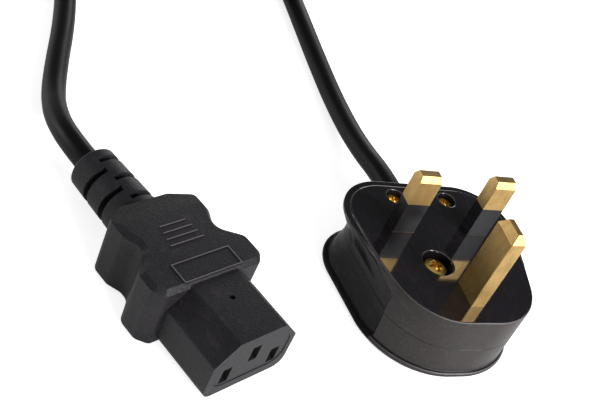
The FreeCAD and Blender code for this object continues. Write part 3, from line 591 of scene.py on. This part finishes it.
def build_cord(cord):
    """The whole cord as one smooth spline through the coil."""
    middle, high = COIL_CENTRE[1], cord.diameter * 1.5
    to_coil = (PLUG_ROUTE[-1][0], middle - COIL_ENTRY, cord.diameter / 2.0)
    last_x = CONNECTOR_ROUTE[0][0]
    from_coil = [(last_x, middle, high), (last_x, middle - COIL_LEVEL, high),
                 (last_x, middle - COIL_DOWN, cord.diameter * 1.2)]
    coil = coil_points(cord.coil_radius, cord.diameter, cord.coil_steps)
    points = PLUG_ROUTE + [to_coil] + coil + from_coil + CONNECTOR_ROUTE

    curve = bpy.data.curves.new("cord", "CURVE")
    curve.dimensions = "3D"
    spline = curve.splines.new("NURBS")
    spline.points.add(len(points) - 1)
    for place, point in zip(points, spline.points):
        point.co = (*place, 1.0)
    spline.order_u = 3
    spline.use_endpoint_u = True
    spline.resolution_u = 8
    curve.bevel_depth = cord.diameter / 2.0
    curve.bevel_resolution = 7
    curve.use_fill_caps = True
    curve.twist_mode = "MINIMUM"
    curve.materials.append(bpy.data.materials["cord_sheath"])
    piece = link(bpy.data.objects.new("cord", curve))
    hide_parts("cord_plug_run", "cord_coil", "cord_connector_run")
    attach(piece, "root")
    return piece


# Operators

class LEAD_OT_stage(bpy.types.Operator):
    """Camera at the photograph's angle, pale floor, white surroundings and soft lamps"""

    bl_idname = "lead.stage"
    bl_label = "Stage"

    def execute(self, context):
        setup = context.scene.lead_stage
        scene = context.scene
        scene.view_settings.view_transform = "Standard"
        self.camera(scene, setup)
        self.floor(setup)
        self.surroundings(scene, setup)
        self.lamp("key_lamp", place=(0.42, -0.56, 0.42), size=0.36, power=setup.key_power)
        self.lamp("fill_lamp", place=(0.12, -0.76, 0.36), size=0.4, power=setup.fill_power)
        self.lamp("rim_lamp", place=(0.45, 0.86, 0.26), size=0.34, power=setup.rim_power)
        self.lamp("side_lamp", place=(-0.75, 0.55, 0.14), size=0.4, power=setup.side_power)
        return {"FINISHED"}

    def camera(self, scene, setup):
        camera = bpy.data.cameras.new("camera")
        camera.sensor_width = SENSOR_WIDTH
        camera.sensor_fit = "HORIZONTAL"
        camera.lens = setup.lens
        camera.clip_start = 0.01
        camera.clip_end = 20.0
        seat = link(bpy.data.objects.new("camera", camera))
        turn = Matrix((CAMERA_RIGHT, CAMERA_UP, CAMERA_BACK)).transposed().to_4x4()
        seat.matrix_world = Matrix.Translation(CAMERA_PLACE) @ turn
        scene.camera = seat

    def floor(self, setup):
        half = FLOOR_HALF
        mesh = bpy.data.meshes.new("floor")
        mesh.from_pydata([(-half, -half, 0), (half, -half, 0), (half, half, 0), (-half, half, 0)],
                         [], [(0, 1, 2, 3)])
        floor = link(bpy.data.objects.new("floor", mesh))
        floor.location.z = -FLOOR_DROP
        material = bpy.data.materials.new("floor")
        material.use_nodes = True
        tree = material.node_tree
        principled = tree.nodes["Principled BSDF"]
        principled.inputs["Roughness"].default_value = 0.9
        principled.inputs["Specular IOR Level"].default_value = 0.1
        cloud = noise(tree, object_place(tree), scale=3.0)
        tint = mix_colour(tree, remap(tree, cloud, 0.3, 0.7, 0.0, 0.04),
                          rgba(setup.floor_colour), times(setup.floor_colour, 0.96))
        tree.links.new(tint, principled.inputs["Base Color"])

        seen, mirrored = looked_at(tree)
        level = math_node(tree, "MAXIMUM", math_node(tree, "MULTIPLY", seen, FLOOR_SEEN),
                          math_node(tree, "MULTIPLY", mirrored, FLOOR_MIRRORED))
        glow = tree.nodes.new("ShaderNodeEmission")
        glow.inputs["Color"].default_value = (1.0, 1.0, 1.0, 1.0)
        tree.links.new(level, glow.inputs["Strength"])
        both = tree.nodes.new("ShaderNodeAddShader")
        tree.links.new(principled.outputs[0], both.inputs[0])
        tree.links.new(glow.outputs[0], both.inputs[1])
        tree.links.new(both.outputs[0], tree.nodes["Material Output"].inputs["Surface"])
        mesh.materials.append(material)

    def surroundings(self, scene, setup):
        """White where it is seen, a low white sweep in reflections, and dim light from above."""
        world = bpy.data.worlds.new("surroundings")
        scene.world = world
        world.use_nodes = True
        tree = world.node_tree
        background = tree.nodes["Background"]
        background.inputs["Color"].default_value = (1.0, 1.0, 1.0, 1.0)
        place = tree.nodes.new("ShaderNodeTexCoord")
        split = tree.nodes.new("ShaderNodeSeparateXYZ")
        tree.links.new(place.outputs["Generated"], split.inputs[0])
        height = split.outputs["Z"]
        sky = remap(tree, height, *SKY_SPAN, setup.sky_low, setup.sky_high)
        sweep = remap(tree, height, *SWEEP_SPAN, 1.0, 0.0)
        seen, mirrored = looked_at(tree)
        shown = math_node(tree, "MAXIMUM", seen, math_node(tree, "MULTIPLY", mirrored, sweep))
        tree.links.new(math_node(tree, "MAXIMUM", shown, sky), background.inputs["Strength"])

    def lamp(self, name, place, size, power):
        light = bpy.data.lights.new(name, "AREA")
        light.shape = "DISK"
        light.size = size
        light.energy = power
        lamp = link(bpy.data.objects.new(name, light))
        aim = Vector(LAMP_AIM) - Vector(place)
        lamp.rotation_euler = aim.to_track_quat("-Z", "Y").to_euler()
        lamp.location = place


class LEAD_OT_materials(bpy.types.Operator):
    """Procedural materials, laid on every CAD piece"""

    bl_idname = "lead.materials"
    bl_label = "Materials"

    def execute(self, context):
        build_materials(context.scene.lead_finish, context.scene.lead_cord)
        for node, obj in NODES.items():
            assign(obj, SLOTS[node])
        return {"FINISHED"}


class LEAD_OT_housing(bpy.types.Operator):
    """Plug base and cover with rounded edges, polished face and satin walls"""

    bl_idname = "lead.housing"
    bl_label = "Plug housing"

    def execute(self, context):
        width = context.scene.lead_finish.edge_round
        heights = [v.co.z for v in NODES["plug_base"].data.vertices]
        face, joint = max(heights), min(heights)
        pins = [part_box(node) for node in ("live_pin_sleeve", "neutral_pin_sleeve", "earth_pin")]

        def near_pin(point):
            return any(all(low[i] - PIN_MARGIN < point[i] < high[i] + PIN_MARGIN for i in (0, 1))
                       for low, high in pins)

        def base_share(point):
            if abs(point.z - joint) < TOUCH:
                return JOINT_SHARE
            if near_pin(point) or point.z < face - RIM_DEPTH:
                return 0.0
            return 1.0 if point.z > face - FACE_EDGE else RIM_SHARE

        def cover_share(point):
            return JOINT_SHARE if point.z > joint - TOUCH else 1.0

        def on_wall(polygon):
            return polygon.normal.z < LEVEL or polygon.center.z < face - FACE_LEVELS

        def in_grip(polygon):
            (end_y, end_depth), (rim_y, rim_depth) = GRIP_END, GRIP_RIM
            y, depth = polygon.center.y, face - polygon.center.z
            along = min(1.0, max(0.0, (y - end_y) / (rim_y - end_y)))
            edge = end_depth + (rim_depth - end_depth) * along
            return depth > edge and y > end_y - GRIP_LEAN * (depth - end_depth)

        base = refined("plug_base", "housing_base", width, segments=3, weigh=base_share,
                       clamp=False)
        add_finish(base, "plug_wall", on_wall)
        # the grips on the base's walls get the darker copy: painted shade
        add_finish(base, "plug_grip", lambda polygon: on_wall(polygon) and in_grip(polygon))
        cover = refined("plug_cover", "housing_cover", width, segments=3, weigh=cover_share,
                        clamp=False)
        # the grips on the cover get the darker copy: painted shade
        add_finish(cover, "plug_grip", in_grip)
        return {"FINISHED"}


class LEAD_OT_pins(bpy.types.Operator):
    """Brass pins, their sleeves and the screws seen in the pin face"""

    bl_idname = "lead.pins"
    bl_label = "Pins and screws"

    def execute(self, context):
        for node in ("live_pin", "neutral_pin", "earth_pin"):
            refined(node, node.replace("pin", "blade"), PIN_ROUND)
        for node in ("live_pin_sleeve", "neutral_pin_sleeve"):
            refined(node, node.replace("pin_", "blade_"), FINE_ROUND)
        for node in ("cover_screw", "cord_grip_screw_left", "cord_grip_screw_right"):
            refined(node, node.replace("screw", "bolt"), FINE_ROUND)
        return {"FINISHED"}


class LEAD_OT_connector(bpy.types.Operator):
    """Moulded appliance connector and its contact insert"""

    bl_idname = "lead.connector"
    bl_label = "Connector"

    def execute(self, context):
        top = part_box("connector_body")[1][2]
        front, axis = Vector(NOSE_END), Vector(NOSE_AXIS)

        def share(point):
            if point.z > top - MARK_HEIGHT:
                return MARK_SHARE if point.z > top - TOUCH else 0.0
            flat = Vector((point.x, point.y, 0.0)) - front
            depth = flat.dot(axis)
            across = (flat - axis * depth).length
            inside = across < CAVITY_HALF and CAVITY_FLOOR < point.z < CAVITY_ROOF
            return 0.0 if inside and depth < CAVITY_DEPTH else 1.0

        width = context.scene.lead_finish.edge_round
        body = refined("connector_body", "appliance_connector", width, segments=3,
                       sharp=CONNECTOR_ANGLE, weigh=share)
        # the tops of the raised marks take the lighter colour: painted highlight
        add_finish(body, "connector_ridge", lambda polygon: polygon.center.z > top - MARK_TOP)
        insert = refined("contact_carrier", "connector_insert", FINE_ROUND)
        # faces deep in the slots take the darker colour: painted shade
        add_finish(insert, "carrier_slot",
                   lambda polygon: (polygon.center - front).dot(axis) > SLOT_DEPTH)
        return {"FINISHED"}


class LEAD_OT_cord(bpy.types.Operator):
    """Flexible cord from the plug by its put-away coil to the connector"""

    bl_idname = "lead.cord"
    bl_label = "Cord"

    def execute(self, context):
        cord = context.scene.lead_cord
        ends = [bpy.data.objects[name] for name in ("appliance_connector", "connector_insert")]
        ends += [NODES[name] for name in ("coil_tie", "connector_live_contact",
                                          "connector_neutral_contact", "connector_earth_contact")]
        build_cord(cord)
        return {"FINISHED"}


class LEAD_PT_panel(bpy.types.Panel):
    """Sizes, colours and steps of the lead"""

    bl_label = "Mains lead"
    bl_idname = "LEAD_PT_panel"
    bl_space_type = "VIEW_3D"
    bl_region_type = "UI"
    bl_category = "Lead"

    def draw(self, context):
        for name in GROUPS:
            group = getattr(context.scene, name)
            column = self.layout.column(align=True)
            for value in group.__annotations__:
                column.prop(group, value)
        for step in OPERATORS:
            self.layout.operator(step.bl_idname)


OPERATORS = (LEAD_OT_stage, LEAD_OT_materials, LEAD_OT_housing, LEAD_OT_pins,
             LEAD_OT_connector, LEAD_OT_cord)
GROUPS = {"lead_finish": LeadFinish, "lead_cord": LeadCord, "lead_stage": LeadStage}


def register():
    for item in (*GROUPS.values(), *OPERATORS, LEAD_PT_panel):
        bpy.utils.register_class(item)
    for name, group in GROUPS.items():
        setattr(bpy.types.Scene, name, bpy.props.PointerProperty(type=group))


def unregister():
    for name in GROUPS:
        delattr(bpy.types.Scene, name)
    for item in (LEAD_PT_panel, *reversed(OPERATORS), *reversed(GROUPS.values())):
        bpy.utils.unregister_class(item)


def main():
    register()
    bpy.ops.lead.stage()
    bpy.ops.lead.materials()
    bpy.ops.lead.housing()
    bpy.ops.lead.pins()
    bpy.ops.lead.connector()
    bpy.ops.lead.cord()
    bpy.context.view_layer.update()


if __name__ == "__main__":
    main()
